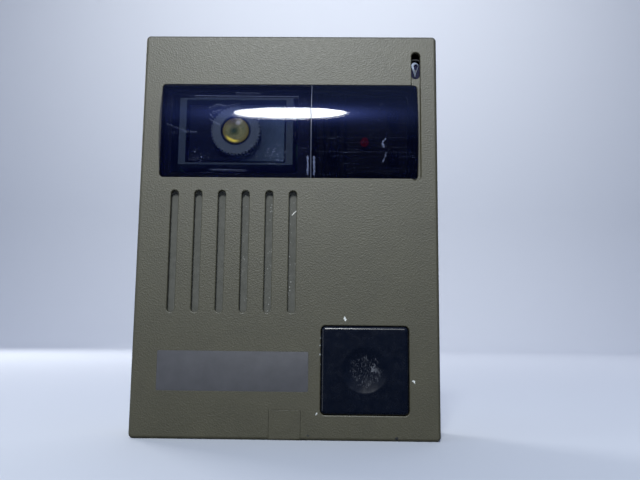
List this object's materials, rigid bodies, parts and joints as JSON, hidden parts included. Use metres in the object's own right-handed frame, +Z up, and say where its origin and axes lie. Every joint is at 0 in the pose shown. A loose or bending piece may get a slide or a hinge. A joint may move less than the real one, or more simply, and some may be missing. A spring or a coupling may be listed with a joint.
{
  "type": "door intercom panel",
  "caption": "Wall-mounted video door station: bronze front with smoked domed window, tilting camera, speaker slots, microphone groove and square call button.",
  "frame": {"origin": "centre of the wall bracket's back face, on the wall plane", "axes": "+X to the right seen from the front, +Y into the wall, +Z up"},
  "size_m": [0.1314, 0.0435, 0.178],
  "materials": {
    "bronze": "fine leather-grain bronze paint, satin",
    "film": "smooth bluish-grey name film",
    "smoke": "polished smoked acrylic",
    "rubber": "matte",
    "black": "fine matte moulded black",
    "zinc": "galvanised sheet",
    "dark_plate": "dark textured plate",
    "circuit": "green laminate",
    "ring": "grey moulded, toothed",
    "glass": "gold-green coated optical glass",
    "steel": "bright",
    "red": "red lamp lens",
    "membrane": "thin grey speaker membrane",
    "paper": "black cone paper",
    "ferrite": "sintered magnet",
    "button": "worn blue-black gloss",
    "white": "off-white moulded",
    "dark_lens": "dark lens and sleeve",
    "screw": "zinc-plated screw",
    "brass": "terminal brass",
    "foam": "closed-cell foam"
  },
  "bodies": {
    "station": {"board_screw_1": "screw", "board_screw_2": "screw", "button_guide": "black", "button_spring": "steel", "camera_window": "smoke", "camera_yoke": "zinc", "capacitor": "dark_lens", "fixing_screw": "screw", "frame_screw_1": "screw", "frame_screw_2": "screw", "frame_screw_3": "screw", "frame_screw_4": "screw", "front_panel": "bronze", "inner_frame": "black", "lamp_board": "circuit", "lamp_window": "smoke", "lock_screw": "screw", "main_board": "circuit", "microphone_boot": "rubber", "microphone_capsule": "steel", "name_plate": "film", "night_lamp_1": "dark_lens", "night_lamp_2": "dark_lens", "night_lamp_3": "dark_lens", "night_lamp_4": "dark_lens", "rear_case": "black", "speaker_basket": "zinc", "speaker_clamp_1": "zinc", "speaker_clamp_2": "zinc", "speaker_cone": "paper", "speaker_gasket": "rubber", "speaker_magnet": "ferrite", "speaker_membrane": "membrane", "speaker_screw_1": "screw", "speaker_screw_2": "screw", "status_lamp": "red", "switch_board": "circuit", "switch_body": "black", "terminal_block": "white", "terminal_screw_1": "brass", "terminal_screw_2": "brass", "transformer": "steel", "volume_trimmer": "dark_lens", "wall_bracket": "zinc", "wall_gasket": "foam", "window_gasket": "rubber"},
    "camera": {"camera_housing": "dark_plate", "camera_back_cover": "zinc", "sensor_board": "circuit", "lens_mount": "dark_plate", "tilt_pin_left": "steel", "tilt_pin_right": "steel"},
    "focus_ring": {"focus_ring": "ring"},
    "lens": {"lens_barrel": "dark_plate", "lens_glass": "glass"},
    "button": {"call_button": "button"},
    "plunger": {"switch_plunger": "white"},
    "volume_dial": {"volume_dial": "white"},
    "screw_cover": {"screw_cover": "bronze"}
  },
  "joints": [
    {"name": "camera_tilt", "type": "hinge", "parent": "station", "child": "camera", "pos_m": [-0.0239, -0.027, 0.0448], "axis": [1, 0, 0], "range_deg": [-10, 10]},
    {"name": "focus_ring_turn", "type": "hinge", "parent": "camera", "child": "focus_ring", "pos_m": [-0.0239, -0.027, 0.0448], "axis": [0, 1, 0], "range_deg": [-45, 45]},
    {"name": "lens_focus_travel", "type": "slide", "parent": "camera", "child": "lens", "axis": [0, 1, 0], "range_m": [-0.000375, 0.000375]},
    {"name": "call_button_travel", "type": "slide", "parent": "station", "child": "button", "axis": [0, 1, 0], "range_m": [0, 0.0016], "stiffness_N_per_m": 900, "springref_m": -0.0015, "deforming": ["button_spring"]},
    {"name": "switch_plunger_travel", "type": "slide", "parent": "station", "child": "plunger", "axis": [0, 1, 0], "range_m": [0, 0.0016]},
    {"name": "volume_dial_turn", "type": "hinge", "parent": "station", "child": "volume_dial", "pos_m": [0.05, -0.0022, -0.02], "axis": [0, 1, 0], "range_deg": [-130, 130]},
    {"name": "screw_cover_slide", "type": "slide", "parent": "station", "child": "screw_cover", "axis": [0, 0, -1], "range_m": [0, 0.014]}
  ],
  "couplings": [
    {"joint": "focus_ring_turn", "follows": "lens_focus_travel", "rad_per_m": 2094},
    {"joint": "switch_plunger_travel", "follows": "call_button_travel", "ratio": 1}
  ]
}
